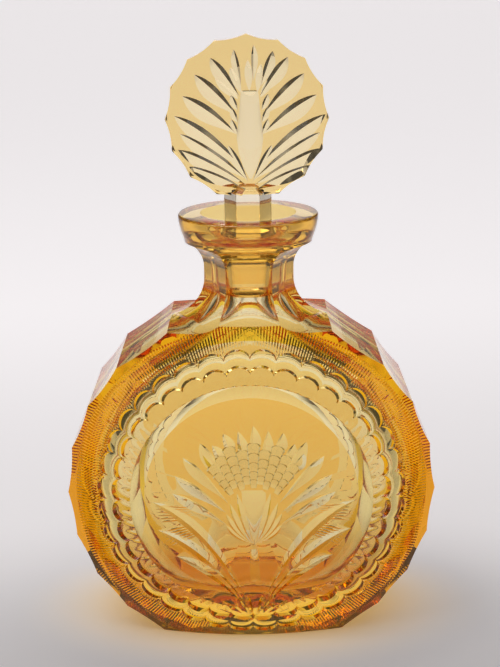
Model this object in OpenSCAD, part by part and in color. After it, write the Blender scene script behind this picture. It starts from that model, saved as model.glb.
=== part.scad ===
// Cut crystal decanter: a flat round bottle with a hexagonal neck, and a ground glass stopper.
// The bottle stands on the plane z = 0, its disc faces look along -Y and +Y, and the neck rises along +Z.

/* [Body] */
// Diameter of the disc-shaped body over the ridges between its edge flutes
body_d = 160; // [120:1:200]
// Depth of the body's edge, from front rim to back rim
rim_depth = 50; // [40:1:70]
// Height of the body's centre above the base, less than its radius so that the base is flat
centre_height = 69; // [48:1:74]
// Angle that each hollow flute takes up round the edge of the body
flute_angle = 15; // [12:0.5:18]
// Number of flutes on each side above the level of the centre, below the wide shoulder flute
flutes_above = 3; // [1:1:3]
// Number of flutes on each side below the level of the centre
flutes_below = 5; // [3:1:5]
// Depth of each edge flute below a straight line between its ridges
flute_depth = 0.7; // [0.3:0.1:1.5]
// Distance from the neck's axis to the corner where each shoulder sweep meets the body's edge
shoulder_x = 34; // [30:1:38]

/* [Faces] */
// Radius of the crest of the raised ring on each face
ring_r = 52; // [40:1:58]
// Height of that crest above the rim
ring_rise = 11; // [7:0.5:14]
// Width of the bevel from the crest in to the flat central panel
ring_bevel = 6; // [4:0.5:9]
// Drop of the bevel from the crest to the central panel
panel_drop = 1.5; // [1:0.5:4]

/* [Cavity] */
// Radius of the inside of the body
cavity_r = 64; // [52:1:68]
// Glass between the central panel and the inside
face_wall = 9; // [5:0.5:12]
// Glass between the base and the inside
base_wall = 15; // [10:1:22]

/* [Neck] */
// Height of the lip above the base
lip_height = 187; // [172:1:205]
// Diameter of the lip
lip_d = 60; // [50:1:72]
// Height of the round collar under the lip
collar_h = 11.5; // [8:0.5:16]
// How much smaller the collar is across its lower edge than at the lip
collar_taper = 5; // [0:0.5:8]
// Width of the hexagonal neck across its flats
neck_flats = 33.6; // [28:0.2:40]
// Height of the straight part of the neck
neck_straight = 5; // [3:0.5:12]
// Radius of the hollow that sweeps from the neck up into the collar
collar_sweep = 12; // [8:0.5:14]
// Radius of the hollow that sweeps from the neck down to each face
face_sweep = 15.5; // [12:0.5:18]
// Radius of the hollow that sweeps from the neck down to each shoulder
shoulder_sweep = 17.6; // [14:0.2:20]

/* [Mouth and stopper fit] */
// Diameter of the open mouth at the lip
mouth_d = 41; // [34:1:46]
// Depth of the mouth down to the ground seat
mouth_depth = 10; // [7:0.5:14]
// Diameter of the ground seat at its top
seat_d = 25; // [22:0.5:27]
// Length of the ground seat
seat_len = 25; // [18:1:30]
// Radius of the sweep from the ground seat down into the body
throat_flare = 10; // [6:0.5:12]
// Taper of the ground seat, as loss of diameter for each unit of length
seat_taper = 0.1; // [0.05:0.01:0.15]
// Gap between the ground plug and its seat, measured square to the axis
seat_gap = 0.08; // [0.05:0.01:0.1]

/* [Stopper] */
// Diameter of the stopper's disc over the points of its edge
disc_d = 68; // [54:1:80]
// Thickness of the disc
disc_t = 11; // [8:0.5:16]
// Height of the disc's centre above the lip
disc_height = 40; // [36:1:52]
// Number of hollows round the disc's edge
notch_count = 16; // [12:1:24]
// Depth of each hollow below a straight line between its points
notch_depth = 0.8; // [0.3:0.1:1.5]
// Width of the stopper's hexagonal stem across its flats
stem_flats = 17.4; // [14:0.2:20]

/* [Hidden] */
$fn = 96;
ARC_STEP = 7.5;
OVER = 1;
FAR = 200;
SEAT_STEP = 0.5;
BULGE_POWER = 2.8;
BULGE_STEPS = 8;
THROAT_REACH = 0.9;
STEM_OVERLAP = 5;
body_r = body_d / 2;
rim_y = rim_depth / 2;
crest_y = rim_y + ring_rise;
panel_r = ring_r - ring_bevel;
panel_y = crest_y - panel_drop;
cavity_y = panel_y - face_wall;
neck_a = neck_flats / 2;
collar_low = lip_height - collar_h;
neck_top = collar_low - collar_sweep;
neck_low = neck_top - neck_straight;
lip_r = lip_d / 2;
seat_top = lip_height - mouth_depth;
seat_low = seat_top - seat_len;
seat_r = seat_d / 2;
seat_low_r = seat_r - seat_len * seat_taper / 2;
throat_z = centre_height + cavity_r * THROAT_REACH;
disc_r = disc_d / 2;
notch_angle = 360 / notch_count;
disc_z = lip_height + disc_height;
stem_top = disc_z - disc_r + STEM_OVERLAP;
stem_a = stem_flats / 2;

// Points of an arc about [cx, cy], from angle a0 to a1
function arc(cx, cy, r, a0, a1) = let (n = ceil(abs(a1 - a0) / ARC_STEP))
    [for (i = [0 : n]) let (a = a0 + (a1 - a0) * i / n) [cx + r * cos(a), cy + r * sin(a)]];

// Points of a quarter of a superellipse with half-axes a and b, from [0, b] to [a, 0]
function bulge(a, b) = [for (i = [0 : BULGE_STEPS]) let (t = 90 - 90 * i / BULGE_STEPS)
    [a * pow(cos(t), 2 / BULGE_POWER), b * pow(sin(t), 2 / BULGE_POWER)]];

// Points in reverse order with y turned over
function mirrored(points) = [for (i = [len(points) - 1 : -1 : 0]) [points[i][0], -points[i][1]]];

// A solid of revolution about the Y axis through the body's centre, given as [radius, y] points
module turned_on_y(points) {
    translate([0, 0, centre_height]) rotate([-90, 0, 0]) rotate_extrude() polygon(points);
}

// One hollow in the edge of a disc of radius r about the Y axis, from angle a0 to a1 above +X
module edge_hollow(r, depth, a0, a1) {
    half = (a1 - a0) / 2;
    chord = 2 * r * sin(half);
    hollow_r = chord * chord / (8 * depth) + depth / 2;
    rotate([0, -(a0 + a1) / 2, 0]) translate([r * cos(half) - depth + hollow_r, 0, 0])
        rotate([90, 0, 0]) cylinder(h = FAR, r = hollow_r, center = true);
}

// The same thing on the left and on the right
module both_sides() {
    children();
    mirror([1, 0, 0]) children();
}

// Flutes round the body's edge, with a wide one at each shoulder
module body_flutes() {
    shoulder_angle = acos(shoulder_x / body_r);
    both_sides() translate([0, 0, centre_height]) {
        for (i = [-flutes_below : flutes_above - 1])
            edge_hollow(body_r, flute_depth, i * flute_angle, (i + 1) * flute_angle);
        edge_hollow(body_r, flute_depth, flutes_above * flute_angle, shoulder_angle);
    }
}

// Side profile of one pair of neck flats: a straight neck that sweeps out above and below
module neck_profile(low_sweep) {
    right = concat(
        [[FAR, neck_low - low_sweep]],
        arc(neck_a + low_sweep, neck_low, low_sweep, 270, 180),
        arc(neck_a + collar_sweep, neck_top, collar_sweep, 180, 90),
        [[FAR, neck_top + collar_sweep], [FAR, lip_height + FAR]]);
    left = [for (i = [len(right) - 1 : -1 : 0]) [-right[i][0], right[i][1]]];
    polygon(concat([[FAR, -FAR]], right, left, [[-FAR, -FAR]]));
}

// The space left by cutting one pair of neck flats that face the given direction
module neck_slab(angle, low_sweep) {
    rotate([0, 0, angle]) rotate([90, 0, 90]) linear_extrude(2 * FAR, center = true) neck_profile(low_sweep);
}

// Round collar and the blank that the neck is cut from
module neck_blank() {
    low_r = lip_r - collar_taper / 2;
    rotate_extrude() polygon([[0, neck_low], [low_r, neck_low], [low_r, collar_low], [lip_r, lip_height],
        [0, lip_height]]);
    shoulder_z = centre_height + sqrt(body_r * body_r - shoulder_x * shoulder_x);
    blank_x = shoulder_x - OVER;
    rotate([90, 0, 0]) linear_extrude(rim_depth, center = true)
        polygon([[-blank_x, shoulder_z - low_r], [blank_x, shoulder_z - low_r], [blank_x, shoulder_z],
            [low_r, neck_top], [-low_r, neck_top], [-blank_x, shoulder_z]]);
}

// One half of the body's section: flat panel, bevelled ring and sloping rim
module body_disc() {
    half = [[0, panel_y], [panel_r, panel_y], [ring_r, crest_y], [body_r, rim_y]];
    difference() {
        turned_on_y(concat(half, mirrored(half)));
        body_flutes();
        translate([-FAR, -FAR, -2 * FAR]) cube([2 * FAR, 2 * FAR, 2 * FAR]);
    }
}

// Inside of the body, flat above the base
module cavity() {
    half = bulge(cavity_r, cavity_y);
    intersection() {
        turned_on_y(concat(half, mirrored([for (i = [0 : BULGE_STEPS - 1]) half[i]])));
        translate([-FAR, -FAR, base_wall]) cube([2 * FAR, 2 * FAR, FAR]);
    }
}

// Throat, ground seat and open mouth
module bore() {
    throat_r = seat_low_r - SEAT_STEP;
    rotate([0, 0, 45]) rotate_extrude() polygon(concat(
        [[0, throat_z], [throat_r + throat_flare, throat_z]],
        arc(throat_r + throat_flare, seat_low - SEAT_STEP, throat_flare, 270, 180),
        [[throat_r, seat_low], [seat_low_r, seat_low], [seat_r, seat_top]],
        arc(mouth_d / 2 - mouth_depth, lip_height, mouth_depth, 300, 360),
        [[mouth_d / 2, lip_height + OVER], [0, lip_height + OVER]]));
}

module bottle() {
    color([0.93, 0.68, 0.13, 0.6]) difference() {
        intersection() {
            union() {
                body_disc();
                neck_blank();
            }
            neck_slab(90, face_sweep);
            neck_slab(30, shoulder_sweep);
            neck_slab(-30, shoulder_sweep);
        }
        cavity();
        bore();
    }
}

// Hexagonal stem between the disc and the plug
module stem() {
    translate([0, 0, seat_top])
        cylinder(h = stem_top - seat_top, r = stem_a / cos(30), $fn = 6);
}

// Ground plug that seats in the neck
module plug() {
    top_r = seat_r - seat_gap;
    low_r = seat_low_r - seat_gap;
    translate([0, 0, seat_low]) cylinder(h = seat_len, r1 = low_r, r2 = top_r);
}

// Flat disc with hollows round its edge
module finial() {
    translate([0, 0, disc_z]) difference() {
        rotate([90, 0, 0]) cylinder(h = disc_t, r = disc_r, center = true);
        for (i = [0 : notch_count - 1])
            edge_hollow(disc_r, notch_depth, 90 + i * notch_angle, 90 + (i + 1) * notch_angle);
    }
}

module stopper() {
    color([0.96, 0.84, 0.5, 0.6]) {
        finial();
        stem();
        plug();
    }
}

bottle();
stopper();
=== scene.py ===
"""Cut crystal decanter: amber glass bottle and stopper, with the wheel cutting as real geometry.

Shapes are worked out in millimetres in the frame of the CAD model, and a finished piece is scaled to metres.
The front face looks along -Y, and a cut on it goes in along +Y. The back has the same ring as the front, with
its shells, flutes and ridges half as deep, and no flower.
"""

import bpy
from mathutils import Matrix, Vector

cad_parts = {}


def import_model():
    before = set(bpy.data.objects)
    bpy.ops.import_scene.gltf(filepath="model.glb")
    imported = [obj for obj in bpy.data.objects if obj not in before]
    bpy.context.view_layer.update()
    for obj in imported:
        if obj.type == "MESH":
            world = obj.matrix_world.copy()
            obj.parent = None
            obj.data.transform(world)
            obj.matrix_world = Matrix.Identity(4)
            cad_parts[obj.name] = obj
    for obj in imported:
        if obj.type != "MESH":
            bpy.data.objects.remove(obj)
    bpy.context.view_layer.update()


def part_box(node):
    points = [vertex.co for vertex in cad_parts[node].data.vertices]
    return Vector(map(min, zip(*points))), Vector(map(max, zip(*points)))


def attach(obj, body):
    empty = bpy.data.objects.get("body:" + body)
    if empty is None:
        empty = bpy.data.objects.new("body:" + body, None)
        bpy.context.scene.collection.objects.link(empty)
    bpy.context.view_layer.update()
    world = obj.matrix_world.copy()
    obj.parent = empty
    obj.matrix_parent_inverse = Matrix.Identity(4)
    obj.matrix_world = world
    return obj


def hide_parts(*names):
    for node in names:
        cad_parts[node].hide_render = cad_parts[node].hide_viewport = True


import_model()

import math

import bmesh
import bpy
import numpy as np
from mathutils import Matrix, Vector

MM = 0.001
# edges between faces that turn by more than this stay sharp
SHARP = math.radians(24)
# two points of a finished mesh that are closer than this, in millimetres, are one
MERGE = 0.002

# --- Sizes, in millimetres, from the CAD boxes and the design's own proportions ---------------------------
bottle_low, bottle_high = [np.array(corner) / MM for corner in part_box("bottle")]
stopper_low, stopper_high = [np.array(corner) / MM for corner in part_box("stopper")]
BODY_R = (bottle_high[0] - bottle_low[0]) / 2
CREST_Y = (bottle_high[1] - bottle_low[1]) / 2
LIP_Z = bottle_high[2]
DISC_R = (stopper_high[0] - stopper_low[0]) / 2
DISC_Z = stopper_high[2] - DISC_R
CENTRE_Z = 69.0
RIM_Y = 25.0
RING_R = 52.0
PANEL_R = 46.0
PANEL_DROP = 1.5
PANEL_Y = CREST_Y - PANEL_DROP
CAVITY_R = 64.0
FACE_WALL = 9.0
CAVITY_Y = PANEL_Y - FACE_WALL
BASE_WALL = 15.0
NECK_A = 16.8
NECK_TOP = 163.5
NECK_LOW = 158.5
COLLAR_SWEEP = 12.0
FACE_SWEEP = 15.5
SHOULDER_SWEEP = 17.6
SHOULDER_X = 34.0
COLLAR_LOW = LIP_Z - 11.5
LIP_R = 30.0
LIP_ROUND = 1.0
COLLAR_R = 27.5
MOUTH_R = 20.5
SEAT_TOP = LIP_Z - 10.0
SEAT_LOW = SEAT_TOP - 25.0
SEAT_R = 12.5
SEAT_LOW_R = 11.25
SEAT_GAP = 0.08
SEAT_STEP = 0.5
DISC_T = 11.0
DISC_BEVEL = 0.6
NOTCHES = 16
NOTCH_DEPTH = 0.8
STEM_A = 8.7
FLUTE_ANGLE = 15
FLUTES_BELOW = 5
FLUTES_ABOVE = 3
FLUTE_DEPTH = 0.7
FAR = 120.0

# --- Surface kinds: a face's material index says how it was worked ----------------------------------------
# each kind: its share of the amber casing, and its roughness
KINDS = ((0.8, 0.0), (0.0, 0.03), (0.4, 0.0), (0.0, 0.07), (1.0, 0.0))
CASED, CLEAR, THIN, GROUND, DEEP = range(5)
SURFACES = [bpy.data.materials.new(name) for name in ("cased", "clear", "thin", "ground", "deep")]


def mark(mesh, kind):
    mesh.polygons.foreach_set("material_index", [kind] * len(mesh.polygons))


# --- Mesh helpers -----------------------------------------------------------------------------------------
def solid(name, verts, faces):
    """A closed mesh object with its faces turned outwards and marked as clear cut glass."""
    mesh = bpy.data.meshes.new(name)
    mesh.from_pydata([tuple(map(float, v)) for v in verts], [], faces)
    for surface in SURFACES:
        mesh.materials.append(surface)
    mark(mesh, CLEAR)
    bm = bmesh.new()
    bm.from_mesh(mesh)
    bmesh.ops.recalc_face_normals(bm, faces=bm.faces)
    bm.to_mesh(mesh)
    bm.free()
    obj = bpy.data.objects.new(name, mesh)
    bpy.context.scene.collection.objects.link(obj)
    return obj


def loft(name, rings):
    """A solid through rings of equal point counts, closed by a face at each end."""
    rings = np.asarray(rings, float)
    count, points = rings.shape[:2]
    faces = [tuple(range(points)), tuple((count - 1) * points + k for k in reversed(range(points)))]
    for i in range(count - 1):
        for k in range(points):
            n = (k + 1) % points
            faces.append((i * points + k, (i + 1) * points + k, (i + 1) * points + n, i * points + n))
    return solid(name, rings.reshape(-1, 3), faces)


def lathe(name, profile, segments):
    """A solid of revolution about Z through [radius, z] points, none of them on the axis."""
    angles = np.linspace(0, 2 * math.pi, segments, endpoint=False)
    return loft(name, [[(r * math.cos(a), r * math.sin(a), z) for a in angles] for r, z in profile])


def arc(cx, cy, r, a0, a1, step=3.0):
    """Points of an arc, with its angles in degrees."""
    n = max(2, int(math.ceil(abs(a1 - a0) / step)))
    return [(cx + r * math.cos(math.radians(a)), cy + r * math.sin(math.radians(a)))
            for a in np.linspace(a0, a1, n + 1)]


def place(obj, matrix):
    """Moves a cutter's mesh, and turns its faces back outwards if the matrix mirrors it."""
    obj.data.transform(matrix)
    if matrix.determinant() < 0:
        obj.data.flip_normals()
    return obj


def mirrored(obj, axis):
    """A copy of a cutter on the other side of the plane across that axis."""
    copy = bpy.data.objects.new(obj.name + "_m", obj.data.copy())
    bpy.context.scene.collection.objects.link(copy)
    scale = Vector((1, 1, 1))
    scale[axis] = -1
    return place(copy, Matrix.Diagonal((*scale, 1)))


def combine(obj, others, operation):
    """Replaces obj's mesh by its boolean with all the others, and deletes them."""
    group = bpy.data.collections.new("operands")
    bpy.context.scene.collection.children.link(group)
    for other in others:
        bpy.context.scene.collection.objects.unlink(other)
        group.objects.link(other)
    modifier = obj.modifiers.new("combine", "BOOLEAN")
    modifier.operation = operation
    modifier.solver = "MANIFOLD"
    modifier.operand_type = "COLLECTION"
    modifier.collection = group
    depsgraph = bpy.context.evaluated_depsgraph_get()
    result = bpy.data.meshes.new_from_object(obj.evaluated_get(depsgraph))
    if not result.polygons:
        raise RuntimeError(f"{operation} left nothing of {obj.name}")
    obj.modifiers.clear()
    obj.data = result
    for other in others:
        bpy.data.objects.remove(other)
    bpy.data.collections.remove(group)


# --- Cutters ----------------------------------------------------------------------------------------------
# height of a groove cutter's open side above the face that it cuts
LIFT = 1.2


def bezier(p0, p1, p2, n):
    t = np.linspace(0, 1, n)[:, None]
    p0, p1, p2 = (np.asarray(p, float) for p in (p0, p1, p2))
    return (1 - t) ** 2 * p0 + 2 * t * (1 - t) * p1 + t ** 2 * p2


def groove(path, depths, lefts, rights, surface, hollow=False):
    """A cutter along (x, z) points of a front face: a V, or a round-bottomed hollow.

    Depth and the widths to the left and right of the deepest line are given at each point.
    """
    path = np.asarray(path, float)
    tangent = np.gradient(path, axis=0)
    tangent /= np.linalg.norm(tangent, axis=1)[:, None]
    side = np.stack([-tangent[:, 1], tangent[:, 0]], 1)
    rings = []
    for p, s, d, left, right in zip(path, side, depths, lefts, rights):
        if hollow:
            reach, roundness = 1.2, 2.2
            section = [(u * left, d * (1 - abs(u) ** roundness)) for u in np.linspace(-reach, reach, 13)]
            section = [(-reach * left, -LIFT)] + section + [(reach * left, -LIFT)]
        else:
            section = [(left + LIFT * left / d, -LIFT), (0, d), (-right - LIFT * right / d, -LIFT)]
        rings.append([(p[0] + s[0] * a, -surface(p[0] + s[0] * a, p[1] + s[1] * a) + b, p[1] + s[1] * a)
                      for a, b in section])
    return loft("groove", rings)


def leaf(start, bend, tip, width, surface, steep=0, peak=0.55, points=15, slopes=(19, 43)):
    """A wheel-cut leaf, pointed at both ends: a V whose faces lie at the first slope, in degrees.

    Its face to the left (steep is 1) or to the right (-1) can lie at the second slope instead.
    """
    gentle, sharp = (1 / math.tan(math.radians(slope)) for slope in slopes)
    left, right = {0: (gentle, gentle), 1: (sharp, gentle), -1: (gentle, sharp)}[steep]
    t = np.linspace(0, 1, points)
    swell = np.sin(math.pi * t ** (math.log(0.5) / math.log(peak))) ** 0.8
    depth = width / (left + right) * np.maximum(swell, 0.01)
    return groove(bezier(start, bend, tip, points), depth, depth * left, depth * right, surface)


def scale_cut(head, angle, low, high, half_width, depth):
    """A cutter for one scale in the flat panel: a floor that slopes in to a steep round wall at its end.

    The scale lies along a ray from head, at the given angle from straight up, between two distances along it.
    """
    foot, arch_rise, wall_spread, clearance = 0.8, 0.55, 0.6, 0.3
    arch = [(half_width * math.cos(a), high - arch_rise * half_width * (1 - math.sin(a)))
            for a in np.linspace(0, math.pi, 11)]
    outline = [(-foot * half_width, low), (foot * half_width, low)] + arch
    centre = (low + high) / 2
    ray = (math.sin(angle), math.cos(angle))
    rings = []
    for opening in (False, True):
        ring = []
        for u, v in outline:
            sunk = depth * (v - low) / (high - low)
            spread = 1 + opening * wall_spread * (sunk + clearance) / math.hypot(u, v - centre)
            across, along = u * spread, centre + (v - centre) * spread
            y = -PANEL_Y + (-clearance if opening else sunk)
            ring.append((head[0] + ray[0] * along + ray[1] * across, y,
                         head[1] + ray[1] * along - ray[0] * across))
        rings.append(ring)
    return loft("scale", rings)


def edge_hollow(r, depth, a0, a1, z, half_y):
    """The cutter for one hollow in the edge of a disc about the Y axis, from angle a0 to a1 above +X."""
    margin_angle, outer = 4, 4
    half = math.radians(a1 - a0) / 2
    chord = 2 * r * math.sin(half)
    hollow_r = chord * chord / (8 * depth) + depth / 2
    reach = r * math.cos(half) - depth + hollow_r
    span = math.degrees(math.asin(min(1.0, chord / 2 / hollow_r))) + margin_angle
    inner = arc(reach, 0, hollow_r, 180 - span, 180 + span, span / 14)
    outline = inner + [(reach + outer, inner[-1][1]), (reach + outer, inner[0][1])]
    obj = loft("edge", [[(x, y, along) for x, along in outline] for y in (-half_y, half_y)])
    turn = Matrix.Rotation(-math.radians(a0 + a1) / 2, 4, "Y")
    return place(obj, Matrix.Translation((0, 0, z)) @ turn)


def neck_cutter(direction, low_sweep):
    """The cutter for one neck flat that faces the given direction, in degrees about Z from -Y."""
    clear_below = NECK_LOW - 5.0
    profile = ([(FAR, NECK_LOW - low_sweep)]
               + arc(NECK_A + low_sweep, NECK_LOW, low_sweep, 270, 180)
               + arc(NECK_A + COLLAR_SWEEP, NECK_TOP, COLLAR_SWEEP, 180, 90)
               + [(FAR, NECK_TOP + COLLAR_SWEEP)])
    obj = loft("flat", [[(x, -out, z) for out, z in profile] for x in (-FAR, FAR)])
    mark(obj.data, CASED)
    for polygon in obj.data.polygons:
        if polygon.center.z < clear_below:
            polygon.material_index = CLEAR
    return place(obj, Matrix.Rotation(math.radians(direction), 4, "Z"))


# --- Body -------------------------------------------------------------------------------------------------
RIDGES = 360
RIDGE_DEPTH = 0.42
SHELLS = 36
SHORT_FLUTES = 72
# depth of the back's cuts as a share of the front's
BACK_SHARE = 0.5
# how far the rim bulges out between ring and edge
RIM_BULGE = 0.9
# the face from near its centre to its edge, in rows of: radius, how far its scallops bulge out, depth of the
# shells at their edges and in their middles, depth of the short flutes, share of the ridges' depth, and the
# kind of surface from there out to the next row
FACE_ROWS = (
    (20.0, 0, 0, 0, 0, 0, CASED), (34.0, 0, 0, 0, 0, 0, CASED),
    (PANEL_R - 0.05, 0, 0, 0, 0, 0, CLEAR), (PANEL_R + 0.05, 0, 0, 0, 0, 0, CLEAR),
    (49.0, 0, 0, 0, 0, 0, CLEAR), (RING_R - 0.05, 0, 0, 0, 0, 0, CLEAR),
    (RING_R + 0.1, 0, 0, 0, 0.6, 0, THIN), (53.0, 0.2, 0.1, 0.2, 0.5, 0, THIN),
    (54.0, 0.6, 0.4, 0.6, 0.3, 0, THIN), (55.0, 1.6, 0.75, 1.15, 0, 0, THIN),
    (56.0, 2.6, 1.1, 1.8, 0, 0, CLEAR), (57.3, 2.9, 0, 0.05, 0, 0, CLEAR),
    (58.4, 2.9, 0.15, 0.35, 0, 0, CLEAR), (59.8, 3.0, 0.35, 0.8, 0, 0, CLEAR),
    (61.2, 3.1, 0.5, 1.15, 0, 0, CLEAR), (62.2, 3.2, 0.6, 1.3, 0, 0, CLEAR),
    (63.2, 3.3, 0, 0.1, 0, 0.1, THIN), (64.2, 2.8, 0, 0, 0, 0.9, THIN),
    (67.5, 1.0, 0, 0, 0, 1, THIN), (69.5, 0, 0, 0, 0, 1, DEEP),
    (71.5, 0, 0, 0, 0, 1, DEEP), (73.5, 0, 0, 0, 0, 1, DEEP),
    (75.6, 0, 0, 0, 0, 1, DEEP), (76.6, 0, 0, 0, 0, 0, DEEP),
    (BODY_R, 0, 0, 0, 0, 0, CLEAR))


def face_y(r):
    """Half-depth of the body at radius r, before the small cuts."""
    if r <= PANEL_R:
        return PANEL_Y
    if r <= RING_R:
        return PANEL_Y + (CREST_Y - PANEL_Y) * (r - PANEL_R) / (RING_R - PANEL_R)
    share = (r - RING_R) / (BODY_R - RING_R)
    return CREST_Y + (RIM_Y - CREST_Y) * share + RIM_BULGE * math.sin(math.pi * share)


def front_y(x, z):
    """Half-depth of the body at a point of its face."""
    return face_y(math.hypot(x, z - CENTRE_Z))


def body_blank():
    """The body turned about Y, with the flutes, shells and fine radial ridges of its faces already in it."""
    columns = 2 * RIDGES
    angles = np.linspace(0, 2 * math.pi, columns, endpoint=False)
    valley = np.arange(columns) % 2
    across_shell = (angles * SHELLS / (2 * math.pi)) % 1.0 * 2 - 1
    across_flute = (angles * SHORT_FLUTES / (2 * math.pi)) % 1.0 * 2 - 1
    scallop = (1 - across_shell ** 2) ** 0.6
    halves = []
    for r, bulge, shell_edge, shell_middle, flute, ridge, _ in FACE_ROWS:
        reach = r + bulge * scallop
        y = np.array([face_y(value) for value in reach])
        cut = shell_edge + (shell_middle - shell_edge) * (1 - across_shell ** 2)
        cut += flute * (1 - across_flute ** 2)
        cut += RIDGE_DEPTH * ridge * valley
        halves.append((reach * np.cos(angles), y - cut, y - BACK_SHARE * cut,
                       CENTRE_Z + reach * np.sin(angles)))
    rings = [np.stack([x, -front, z], 1) for x, front, back, z in halves]
    rings += [np.stack([x, back, z], 1) for x, front, back, z in halves[::-1]]
    bottle = loft("bottle_glass", rings)
    kinds = [row[-1] for row in FACE_ROWS]
    bands = kinds + kinds[-2::-1]
    # the two end faces come first, then the bands between the rows
    face_kinds = [CASED, CASED] + [kind for kind in bands for _ in range(columns)]
    bottle.data.polygons.foreach_set("material_index", face_kinds)
    return bottle


def body_edge():
    """Cutters for the flutes round the body's edge, and for its flat base."""
    half_y = 50
    shoulder_angle = math.degrees(math.acos(SHOULDER_X / BODY_R))
    spans = [(i * FLUTE_ANGLE, (i + 1) * FLUTE_ANGLE) for i in range(-FLUTES_BELOW, FLUTES_ABOVE)]
    spans.append((FLUTES_ABOVE * FLUTE_ANGLE, shoulder_angle))
    flutes = [edge_hollow(BODY_R, FLUTE_DEPTH, a0, a1, CENTRE_Z, half_y) for a0, a1 in spans]
    for flute in flutes[:3]:
        mark(flute.data, CASED)
    flutes += [mirrored(flute, 0) for flute in flutes]
    square = ((-FAR, -FAR), (FAR, -FAR), (FAR, FAR), (-FAR, FAR))
    base = loft("base", [[(x, y, z) for x, y in square] for z in (-40.0, 0.0)])
    mark(base.data, DEEP)
    return flutes + [base]


def cavity():
    """Inside of the bottle: a flat round hollow with a level floor, the throat, the seat and the mouth."""
    segments = 256
    angles = np.linspace(0, 2 * math.pi, segments, endpoint=False)
    sine, cosine = np.sin(angles), np.cos(angles)
    corner = 14.0
    floor_reach = (CENTRE_Z - BASE_WALL) / np.maximum(-sine, 1e-3)
    reach = (CAVITY_R ** -corner + floor_reach ** -corner) ** (-1 / corner)
    reach = np.where(sine < 0, reach, CAVITY_R)
    shares = np.sin(np.linspace(0.0, math.pi / 2, 26)) ** 0.8
    shares[0] = 0.02
    shares[-1] = 0.99999
    half = [(share, CAVITY_Y * (1 - share ** 9) ** 0.32) for share in shares]
    sections = [(share, -y) for share, y in half] + [(1.0, 0.0)] + [(share, y) for share, y in half[::-1]]
    hollow = loft("hollow", [np.stack([share * reach * cosine, np.full(segments, y),
                                       CENTRE_Z + share * reach * sine], 1) for share, y in sections])
    # the throat opens out of a wide flat oval in the hollow's roof into the round seat
    throat = SEAT_LOW_R - SEAT_STEP
    oval_z, oval_x, oval_y = 118.0, 46.0, 20.0
    rings = []
    for t in np.linspace(0, 1, 40):
        a = throat + (oval_x - throat) * (1 - min(1.0, t * 1.02)) ** 1.6
        b = throat + (oval_y - throat) * (1 - t ** 4.0) ** 1.2
        power = 2.0 + 0.5 * (1 - t)
        rings.append(np.stack([a * np.sign(cosine) * np.abs(cosine) ** (2 / power),
                               b * np.sign(sine) * np.abs(sine) ** (2 / power),
                               np.full(segments, oval_z + (SEAT_LOW - oval_z) * t)], 1))
    seat = [(SEAT_LOW_R, SEAT_LOW + 0.01), (SEAT_R, SEAT_TOP)]
    mouth = [(SEAT_R + (MOUTH_R - SEAT_R) * math.sin(t) ** 0.9,
              SEAT_TOP + (LIP_Z - SEAT_TOP) * (1 - math.cos(t))) for t in np.linspace(0.15, math.pi / 2, 12)]
    for r, z in seat + mouth + [(MOUTH_R, LIP_Z + 1.0)]:
        rings.append(np.stack([r * cosine, r * sine, np.full(segments, z)], 1))
    return [hollow, loft("throat", rings)]


# --- Flower cut in the front face -------------------------------------------------------------------------
FLOWER_X = 1.0


def leaf_pair(start, bend, tip, width, steep=1, **more):
    """The same leaf on both sides of the flower's stem, from points about the body's centre."""
    cutters = []
    for side in (-1, 1):
        points = [(FLOWER_X + side * x, CENTRE_Z + z) for x, z in (start, bend, tip)]
        cutters.append(leaf(*points, width, front_y, steep * side, **more))
    return cutters


def upright(heights, depths, widths):
    """A hollow up the middle of the flower, from heights over the body's centre."""
    path = [(FLOWER_X, CENTRE_Z + z) for z in heights]
    return groove(path, depths, widths, widths, front_y, hollow=True)


def leaves():
    """Long leaves that sweep up from the root, and shorter ones that spring from the bulb."""
    cutters = []
    for tip, bend, width in (((43.5, -1.0), (15, -18), 5.4), ((41.5, -14.5), (16, -28), 5.0),
                             ((34, -27), (14, -37), 4.4)):
        cutters += leaf_pair((0.6, -57), bend, tip, width, steep=-1, peak=0.7)
    for tip, start, width in (((22.5, 26), (9.0, 3), 5.6), ((30, 19.5), (11.0, -2), 5.0),
                              ((33.5, 11), (12.0, -6.5), 4.6), ((35.0, 3), (12.0, -12), 4.4)):
        bend = ((tip[0] + start[0]) / 2 + 0.4, (tip[1] + start[1]) / 2 + 2.2)
        cutters += leaf_pair(start, bend, tip, width, peak=0.64)
    return cutters


def bulb():
    """Curved flutes either side of the bulb's plain middle."""
    cutters = []
    for k, (x, z) in enumerate(((7.2, 2.5), (10.4, -2.0), (12.0, -7.0), (12.0, -12.5))):
        cutters += leaf_pair((0.4, -21.5), (x * 0.82, -14.5 + z * 0.35), (x, z), 3.0 - 0.15 * k,
                             steep=-1, peak=0.62, slopes=(17, 50))
    widths = np.array([0.2, 1.8, 3.6, 5.0, 5.2, 4.6])
    cutters.append(upright((-22, -15, -8, -2, 2.5, 4), (-0.02, 0.4, 0.6, 0.7, 0.5, -0.02), widths))
    return cutters


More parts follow.
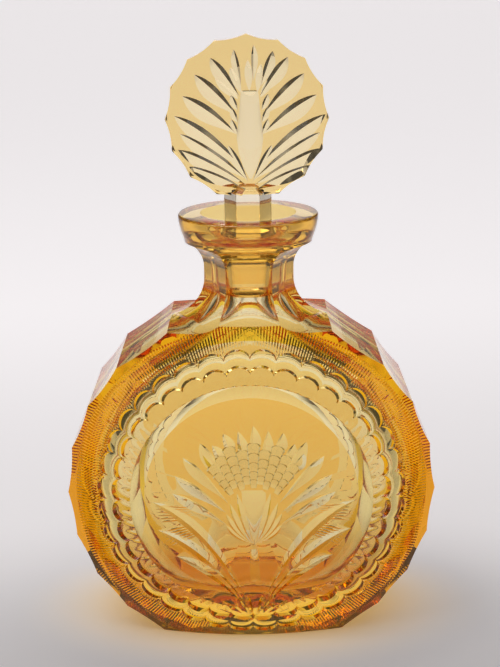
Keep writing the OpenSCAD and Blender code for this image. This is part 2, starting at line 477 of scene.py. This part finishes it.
def flower_head():
    """Columns of scales that open out from the bulb, each ending in a pointed petal."""
    head = np.array([FLOWER_X, CENTRE_Z - 12.0])
    pitch = 8.4
    cutters = []
    for k in range(-4, 5):
        angle = math.radians(k * pitch)
        ray = np.array([math.sin(angle), math.cos(angle)])
        reach = 45.5 - 0.35 * k * k - (1.5 if k % 2 else 0.0)
        low = 17.0 + (1.8 if k % 2 else 0.0)
        length = 3.4
        while low + length < reach - 5.0:
            half_width = 0.45 * math.radians(pitch) * (low + length)
            cutters.append(scale_cut(head, angle, low, low + length, half_width, 0.36 * length))
            low += length
            length += 0.3
        cutters.append(leaf(head + (low - 2.0) * ray, head + (low + 3.0) * ray, head + reach * ray, 4.8,
                            front_y, steep=1, peak=0.35, slopes=(24, 48)))
    return cutters


def stem_and_root():
    """The short stem under the bulb, and the bright rays at the root."""
    widths = np.array([1.4, 1.8, 2.2, 2.2])
    cutters = [upright((-24, -27, -34, -40), (-0.02, 0.8, 0.8, -0.02), widths)]
    root = -61
    for angle, length in ((12, 15), (30, 17), (48, 19), (64, 21), (78, 20)):
        tip = (length * math.sin(math.radians(angle)), root + length * math.cos(math.radians(angle)))
        cutters += leaf_pair((0.8, root), (tip[0] / 2, (tip[1] + root) / 2), tip, 3.6, peak=0.6,
                             slopes=(28, 50))
    return cutters


def veins():
    """Fine veins between the tips of the long leaves."""
    cutters = []
    for middle in (99, 116):
        for j in range(6):
            angle = math.radians(middle + 2.1 * (j - 2.5))
            inner = (27 * math.sin(angle), 27 * math.cos(angle) - 2)
            outer = (43 * math.sin(angle), 43 * math.cos(angle))
            bend = ((inner[0] + outer[0]) / 2, (inner[1] + outer[1]) / 2)
            cutters += leaf_pair(inner, bend, outer, 1.0, steep=0, points=5, slopes=(40, 54))
    return cutters


# --- Neck, and the whole bottle ---------------------------------------------------------------------------
def neck_blank():
    """Collar and the block under it that the neck flats are cut from."""
    shoulder_z = CENTRE_Z + math.sqrt(BODY_R ** 2 - SHOULDER_X ** 2)
    block_low = 110.0
    x = SHOULDER_X - 1.0
    outline = [(-x, block_low), (x, block_low), (x, shoulder_z), (COLLAR_R, NECK_TOP), (-COLLAR_R, NECK_TOP),
               (-x, shoulder_z)]
    block = loft("block", [[(px, y, pz) for px, pz in outline] for y in (-RIM_Y, RIM_Y)])
    round_z = LIP_Z - LIP_ROUND
    profile = [(0.5, NECK_LOW), (COLLAR_R, NECK_LOW), (COLLAR_R, COLLAR_LOW)]
    profile += [(COLLAR_R + (LIP_R - COLLAR_R) * math.sin(math.pi / 2 * t) ** 1.1,
                 COLLAR_LOW + (round_z - COLLAR_LOW) * t) for t in np.linspace(0.1, 1, 10)]
    profile += arc(LIP_R - LIP_ROUND, round_z, LIP_ROUND, 20, 90, 12)
    profile += [(0.5, LIP_Z)]
    collar = lathe("collar", profile, 192)
    mark(block.data, DEEP)
    mark(collar.data, CASED)
    for polygon in collar.data.polygons:
        if polygon.center.z > LIP_Z - LIP_ROUND / 2:
            polygon.material_index = CLEAR
    return [block, collar]


def shoulder_mitres():
    """Pointed cuts that end the edges of the neck on the shoulders, in front and behind."""
    cutters = []
    for side in (-1, 1):
        rings = []
        for x, y, z, depth, half_width in ((9.6, 19.0, 157.0, 0.0, 0.3), (10.0, 20.0, 153.0, 1.6, 1.7),
                                           (10.8, 22.0, 149.0, 1.0, 1.1), (11.5, 24.0, 146.0, 0.0, 0.1)):
            mouth = half_width + 1.2
            rings.append([(side * x - mouth, -y - 3, z), (side * x, -y + depth, z),
                          (side * x + mouth, -y - 3, z)])
        cutters.append(loft("mitre", rings))
    return cutters + [mirrored(mitre, 1) for mitre in cutters]


def build_bottle():
    bottle = body_blank()
    combine(bottle, body_edge(), "DIFFERENCE")
    combine(bottle, neck_blank(), "UNION")
    flats = [neck_cutter(direction, SHOULDER_SWEEP if direction % 180 else FACE_SWEEP)
             for direction in range(0, 360, 60)]
    combine(bottle, flats, "DIFFERENCE")
    flower = leaves() + bulb() + flower_head() + stem_and_root() + veins()
    combine(bottle, flower + shoulder_mitres(), "DIFFERENCE")
    combine(bottle, cavity(), "DIFFERENCE")
    return bottle


# --- Stopper ----------------------------------------------------------------------------------------------
PALM_X = 1.2


def disc_y(x, z):
    """Half-depth of the disc, the same at every point of its flat face."""
    return DISC_T / 2


def palm_leaf(start, tip, width, steep, sag=0.0, **more):
    """A leaf on the disc's face, from points about its centre, bent down or up by sag."""
    centre = np.array([PALM_X, DISC_Z])
    start, tip = np.array(start, float), np.array(tip, float)
    bend = (start + tip) / 2 + np.array([0.0, sag])
    return leaf(start + centre, bend + centre, tip + centre, width, disc_y, steep, slopes=(25, 45), **more)


def palm():
    """A palm of leaves round a plain upright flute, cut in the front face of the disc."""
    cutters = []
    # tall rays over the flute, then pairs of leaves further and further down each side
    for start, tip, width, steep in (((-3.4, 13), (-6.2, 27.8), 3.2, -1), ((1.6, 15), (1.8, 29.5), 2.8, 1),
                                     ((4.6, 13), (9.6, 27), 4.2, 1)):
        cutters.append(palm_leaf(start, tip, width, steep, peak=0.6))
    for (x0, z0), (x1, z1), width, sag in (
            ((4.2, 9.0), (15.8, 24.6), 5.4, 0.8), ((5.0, 1.0), (22.4, 18.0), 6.4, 1.2),
            ((5.2, -6.5), (27.6, 9.4), 6.8, 1.8), ((2.2, -21.0), (31.2, 1.4), 7.0, 3.2),
            ((1.8, -25.0), (29.0, -6.0), 6.2, 2.0), ((1.8, -27.5), (30.0, -12.5), 5.8, 1.8),
            ((2.4, -29.5), (25.6, -19.6), 5.2, 1.2), ((1.0, -26.0), (9.0, -11.0), 3.6, 0.6)):
        for side in (-1, 1):
            cutters.append(palm_leaf((side * x0, z0), (side * x1, z1), width, side, sag, peak=0.6))
    # short petals that crown the flute, and small lozenges down its sides
    for start, tip, width in (((0.0, 11.0), (-0.6, 23.6), 3.2), ((3.2, 10.5), (4.8, 22.0), 3.0),
                              ((-3.4, 10.5), (-7.8, 20.6), 3.6), ((4.4, 8.5), (9.6, 16.8), 3.2),
                              ((-4.6, 8.0), (-14.0, 16.2), 3.8)):
        cutters.append(palm_leaf(start, tip, width, 0, peak=0.55))
    for z in (6.5, 1.5, -3.5):
        for side in (-1, 1):
            cutters.append(palm_leaf((side * 5.0, z - 3.0), (side * 7.6, z + 3.4), 2.6, side, peak=0.5,
                                     points=9))
    path = [(PALM_X, DISC_Z + z) for z in (11.4, 11, 9, 4, -2, -8, -14, -20, -25)]
    widths = np.array([3.2, 3.5, 3.8, 4.2, 4.9, 5.5, 4.7, 2.9, 0.4])
    depths = np.array([-0.02, 0.6, 1.1, 1.4, 1.7, 1.9, 1.6, 0.9, -0.02])
    cutters.append(groove(path, depths, widths, widths, disc_y, hollow=True))
    return cutters


def disc():
    """The flat disc with bevelled edges and hollows round its edge."""
    half_y = DISC_T / 2
    angles = np.linspace(0, 2 * math.pi, 256, endpoint=False)
    rings = [[(r * math.sin(a), y, DISC_Z + r * math.cos(a)) for a in angles]
             for y, r in ((-half_y, DISC_R - DISC_BEVEL), (-half_y + DISC_BEVEL, DISC_R),
                          (half_y - DISC_BEVEL, DISC_R), (half_y, DISC_R - DISC_BEVEL))]
    stopper = loft("stopper_glass", rings)
    mark(stopper.data, CASED)
    step = 360 / NOTCHES
    notches = [edge_hollow(DISC_R, NOTCH_DEPTH, 90 + i * step, 90 + (i + 1) * step, DISC_Z, 20)
               for i in range(NOTCHES)]
    combine(stopper, notches, "DIFFERENCE")
    return stopper


def stem_and_plug():
    """The hexagonal stem, pointed where it meets the disc, and the ground plug with its worn edges."""
    stem_r = STEM_A / math.cos(math.pi / 6)
    disc_low = DISC_Z - DISC_R
    corners = [math.radians(60 * k) for k in range(6)]
    stem = loft("stem", [[(r * math.cos(a), r * math.sin(a), z) for a in corners]
                         for r, z in ((stem_r, SEAT_TOP - 1), (stem_r, disc_low + 3),
                                      (stem_r * 0.6, disc_low + 6))])
    low_r, top_r = SEAT_LOW_R - SEAT_GAP, SEAT_R - SEAT_GAP
    low_edge, top_edge = 1.0, 0.8
    plug = lathe("plug", [(low_r - low_edge, SEAT_LOW), (low_r, SEAT_LOW + low_edge),
                          (top_r, SEAT_TOP - top_edge), (top_r - top_edge, SEAT_TOP)], 128)
    mark(plug.data, GROUND)
    return [stem, plug]


def build_stopper():
    stopper = disc()
    combine(stopper, stem_and_plug(), "UNION")
    combine(stopper, palm(), "DIFFERENCE")
    return stopper


# --- Shader nodes -----------------------------------------------------------------------------------------
def node(tree, kind, **settings):
    made = tree.nodes.new("ShaderNode" + kind)
    for name, value in settings.items():
        setattr(made, name, value)
    return made


def feed(tree, socket, value):
    """Links an output to a socket, or gives the socket a plain value."""
    if isinstance(value, bpy.types.NodeSocket):
        tree.links.new(value, socket)
    else:
        socket.default_value = value


def ramp(tree, value, low, high, to_low, to_high):
    """A smooth step of the value, from to_low at low to to_high at high."""
    made = node(tree, "MapRange", interpolation_type="SMOOTHSTEP")
    for name, given in (("Value", value), ("From Min", low), ("From Max", high), ("To Min", to_low),
                        ("To Max", to_high)):
        feed(tree, made.inputs[name], given)
    return made.outputs["Result"]


def join(tree, operation, *values):
    made = node(tree, "Math", operation=operation)
    for socket, value in zip(made.inputs, values):
        feed(tree, socket, value)
    return made.outputs["Value"]


def blend(tree, share, a, b):
    """A colour between a and b."""
    made = node(tree, "Mix", data_type="RGBA")
    for name, value in (("Factor", share), ("A", a), ("B", b)):
        feed(tree, made.inputs[name], value)
    return made.outputs["Result"]


def new_material(name):
    material = bpy.data.materials.new(name)
    material.use_nodes = True
    return material, material.node_tree, material.node_tree.nodes["Principled BSDF"]


# --- Glass ------------------------------------------------------------------------------------------------
def glass(name, casing, colour, density):
    """Crystal with a thin amber casing on its uncut faces, fine polishing waves, and a matt ground zone."""
    material, tree, shader = new_material(name)
    shader.inputs["IOR"].default_value = 1.54
    shader.inputs["Transmission Weight"].default_value = 1.0
    shader.inputs["Specular IOR Level"].default_value = 0.3
    cased = node(tree, "Attribute", attribute_name="casing").outputs["Fac"]
    feed(tree, shader.inputs["Base Color"], blend(tree, cased, (1, 1, 1, 1), (*casing, 1)))
    feed(tree, shader.inputs["Roughness"], node(tree, "Attribute", attribute_name="matt").outputs["Fac"])
    waves = node(tree, "TexNoise")
    waves.inputs["Scale"].default_value = 140.0
    waves.inputs["Detail"].default_value = 2.0
    feed(tree, waves.inputs["Vector"], node(tree, "TexCoord").outputs["Object"])
    bump = node(tree, "Bump")
    bump.inputs["Strength"].default_value = 0.05
    bump.inputs["Distance"].default_value = 0.0004
    feed(tree, bump.inputs["Height"], waves.outputs["Fac"])
    feed(tree, shader.inputs["Normal"], bump.outputs["Normal"])
    absorb = node(tree, "VolumeAbsorption")
    absorb.inputs["Color"].default_value = (*colour, 1)
    absorb.inputs["Density"].default_value = density
    feed(tree, tree.nodes["Material Output"].inputs["Volume"], absorb.outputs["Volume"])
    return material


def clean(mesh):
    """Merges points that the booleans left almost on top of each other, drops pairs of faces with nothing
    between them, and closes the small holes that this leaves."""
    bm = bmesh.new()
    bm.from_mesh(mesh)
    bmesh.ops.remove_doubles(bm, verts=bm.verts, dist=MERGE)
    bmesh.ops.dissolve_degenerate(bm, edges=bm.edges, dist=MERGE)
    bmesh.ops.triangulate(bm, faces=[face for face in bm.faces if len(face.verts) > 4])
    by_corners = {}
    for face in bm.faces:
        by_corners.setdefault(frozenset(face.verts), []).append(face)
    flaps = [face for faces in by_corners.values() if len(faces) > 1 for face in faces]
    bmesh.ops.delete(bm, geom=flaps, context="FACES")
    bmesh.ops.holes_fill(bm, edges=[edge for edge in bm.edges if edge.is_boundary], sides=0)
    bm.to_mesh(mesh)
    bm.free()


def finish_piece(obj, material, node, body):
    """Cleans a piece, scales it to metres, stores how its faces were worked, and ties it to its CAD node."""
    mesh = obj.data
    clean(mesh)
    mesh.transform(Matrix.Scale(MM, 4))
    mesh.set_sharp_from_angle(angle=SHARP)
    kinds = np.zeros(len(mesh.polygons), int)
    mesh.polygons.foreach_get("material_index", kinds)
    for column, name in enumerate(("casing", "matt")):
        layer = mesh.attributes.new(name, "FLOAT", "FACE")
        layer.data.foreach_set("value", np.array(KINDS)[kinds, column])
    mark(mesh, 0)
    mesh.polygons.foreach_set("use_smooth", [True] * len(kinds))
    mesh.materials.clear()
    mesh.materials.append(material)
    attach(obj, body)
    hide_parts(node)


# --- Setting ----------------------------------------------------------------------------------------------
LIGHT_COLOUR = (1.0, 0.965, 0.975, 1)
# painted amber light for the floor round the base, where the glass would cast it
PAINTED_AMBER_LIGHT = (1.0, 0.6, 0.16, 1)
PAPER = (0.82, 0.805, 0.81, 1)
# the paper's colour in that oval, tinted amber: painted amber shadow
PAINTED_AMBER_SHADOW = (0.82, 0.68, 0.47, 1)


def floor():
    """Pale paper that glows behind the object, with amber light and shadow painted round the base where the
    glass would cast them.
    """
    size, drop = 40.0, 0.0002
    mesh = bpy.data.meshes.new("floor")
    mesh.from_pydata([(-size, -size, 0), (size, -size, 0), (size, size, 0), (-size, size, 0)], [],
                     [(0, 1, 2, 3)])
    obj = bpy.data.objects.new("floor", mesh)
    bpy.context.scene.collection.objects.link(obj)
    material, tree, shader = new_material("floor_paper")
    shader.inputs["Roughness"].default_value = 0.7
    shader.inputs["Specular IOR Level"].default_value = 0.1
    coords = node(tree, "TexCoord").outputs["Object"]
    split = node(tree, "SeparateXYZ")
    feed(tree, split.inputs["Vector"], coords)
    x, y = split.outputs["X"], split.outputs["Y"]
    glow = join(tree, "ADD", ramp(tree, y, -0.07, 0.09, 0.0, 0.26), ramp(tree, y, 0.0, 0.55, 0.0, 0.2))
    # the glow narrows to a wedge behind the object
    slant = join(tree, "DIVIDE", join(tree, "ABSOLUTE", x), join(tree, "ADD", y, 0.5))
    glow = join(tree, "MULTIPLY", glow, ramp(tree, slant, 0.23, 0.42, 1.0, 0.1))
    # painted amber light and painted amber shadow fill an oval round the base, where the glass would cast its
    # light
    half_length, half_depth, strength = 0.115, 0.065, 0.32
    oval = node(tree, "VectorMath", operation="MULTIPLY")
    feed(tree, oval.inputs[0], coords)
    feed(tree, oval.inputs[1], (1 / half_length, 1 / half_depth, 0))
    distance = node(tree, "VectorMath", operation="LENGTH")
    feed(tree, distance.inputs[0], oval.outputs["Vector"])
    amber = ramp(tree, distance.outputs["Value"], 0.35, 1.0, 1.0, 0.0)
    # the painted amber light goes into the floor's emission, and its painted shadow into the paper's colour
    feed(tree, shader.inputs["Emission Color"], blend(tree, amber, LIGHT_COLOUR, PAINTED_AMBER_LIGHT))
    feed(tree, shader.inputs["Base Color"], blend(tree, amber, PAPER, PAINTED_AMBER_SHADOW))
    feed(tree, shader.inputs["Emission Strength"], join(tree, "MULTIPLY_ADD", amber, strength, glow))
    mesh.materials.append(material)
    obj.location.z = -drop


def softbox():
    """Soft light from above, a little to the left and in front."""
    light = bpy.data.lights.new("softbox", "AREA")
    light.shape = "RECTANGLE"
    light.size = light.size_y = 0.7
    light.energy = 3
    obj = bpy.data.objects.new("softbox", light)
    obj.location = (-0.5, -0.2, 1.2)
    obj.rotation_euler = (Vector((0, 0, 0.1)) - obj.location).to_track_quat("-Z", "Y").to_euler()
    bpy.context.scene.collection.objects.link(obj)


def world():
    """Dim studio with a bright backdrop behind the object and soft light overhead."""
    sky = bpy.data.worlds.new("studio")
    sky.use_nodes = True
    tree = sky.node_tree
    split = node(tree, "SeparateXYZ")
    feed(tree, split.inputs["Vector"], node(tree, "TexCoord").outputs["Generated"])
    x, y, z = (split.outputs[axis] for axis in "XYZ")
    backdrop = join(tree, "MULTIPLY", ramp(tree, y, 0.0, 0.2, 0.0, 0.85), ramp(tree, z, 0.2, 0.3, 1.0, 0.0))
    backdrop = join(tree, "MULTIPLY", backdrop, ramp(tree, x, 0.22, 0.36, 1.0, 0.0))
    backdrop = join(tree, "MULTIPLY", backdrop, ramp(tree, x, -0.36, -0.22, 0.0, 1.0))
    overhead = ramp(tree, z, 0.7, 0.9, 0.07, 1.1)
    background = tree.nodes["Background"]
    feed(tree, background.inputs["Strength"], join(tree, "ADD", backdrop, overhead))
    feed(tree, background.inputs["Color"], LIGHT_COLOUR)
    bpy.context.scene.world = sky


def camera():
    """Camera in front of the decanter and a little above its stopper, looking down."""
    distance, height, aside = 0.4847, 0.2824, 0.0002
    pitch, roll = math.radians(17.18), math.radians(0.71)
    focal = 1150.0
    sensor = 36.0
    frame_height = 667.0
    data = bpy.data.cameras.new("camera")
    data.sensor_width = sensor
    data.sensor_fit = "AUTO"
    data.lens = focal * sensor / frame_height
    data.clip_start, data.clip_end = 0.01, 200.0
    obj = bpy.data.objects.new("camera", data)
    obj.matrix_world = (Matrix.Translation((aside, -distance, height))
                        @ Matrix.Rotation(math.pi / 2 - pitch, 4, "X") @ Matrix.Rotation(-roll, 4, "Z"))
    bpy.context.scene.collection.objects.link(obj)
    bpy.context.scene.camera = obj


camera()
floor()
world()
softbox()

bottle = build_bottle()
stopper = build_stopper()
finish_piece(bottle, glass("amber_crystal", (0.982, 0.59, 0.01), (0.997, 0.925, 0.60), 95.0),
             "bottle", "bottle")
finish_piece(stopper, glass("amber_crystal_stopper", (0.988, 0.73, 0.22), (0.998, 0.94, 0.78), 80.0),
             "stopper", "stopper")
for surface in SURFACES:
    bpy.data.materials.remove(surface)

scene = bpy.context.scene
scene.view_settings.view_transform = "Standard"
scene.cycles.max_bounces = 24
scene.cycles.transmission_bounces = 24
scene.cycles.glossy_bounces = 12
